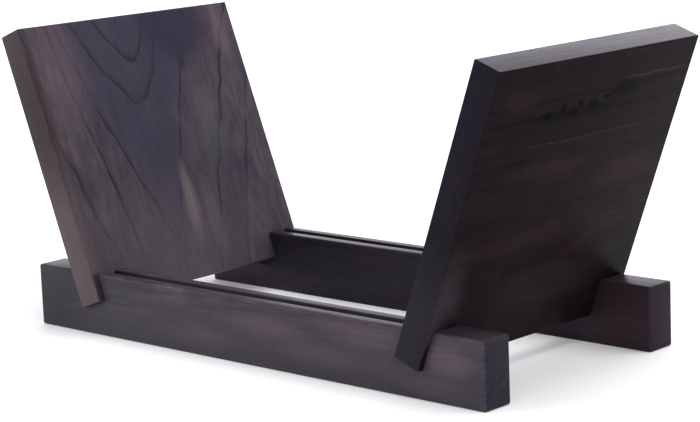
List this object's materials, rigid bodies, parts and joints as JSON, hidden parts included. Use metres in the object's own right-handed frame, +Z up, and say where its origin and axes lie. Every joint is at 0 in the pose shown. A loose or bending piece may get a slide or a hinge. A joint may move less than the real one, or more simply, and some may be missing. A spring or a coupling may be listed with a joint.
{
  "type": "book display stand",
  "caption": "Knock-down wooden book stand: parallel slotted rails hold square boards that drop in and lean outwards, with books standing between them.",
  "frame": {"origin": "on the table top, midway between the two rails and midway along them", "axes": "+X along the rails to the right-hand board, +Y from the front rail to the back rail, +Z up"},
  "size_m": [0.4402, 0.2, 0.2083],
  "materials": {
    "rail_wood": "dark stained hardwood, satin lacquer",
    "board_wood": "dark stained hardwood board, satin lacquer"
  },
  "bodies": {
    "base": {"front_rail": "rail_wood", "back_rail": "rail_wood"},
    "left_board": {"left_board": "board_wood"},
    "right_board": {"right_board": "board_wood"}
  },
  "joints": [
    {"name": "left_board_lift", "type": "slide", "parent": "base", "child": "left_board", "axis": [-0.3502, 0, 0.9367], "range_m": [0, 0.04]},
    {"name": "right_board_lift", "type": "slide", "parent": "base", "child": "right_board", "axis": [0.3502, 0, 0.9367], "range_m": [0, 0.04]}
  ]
}
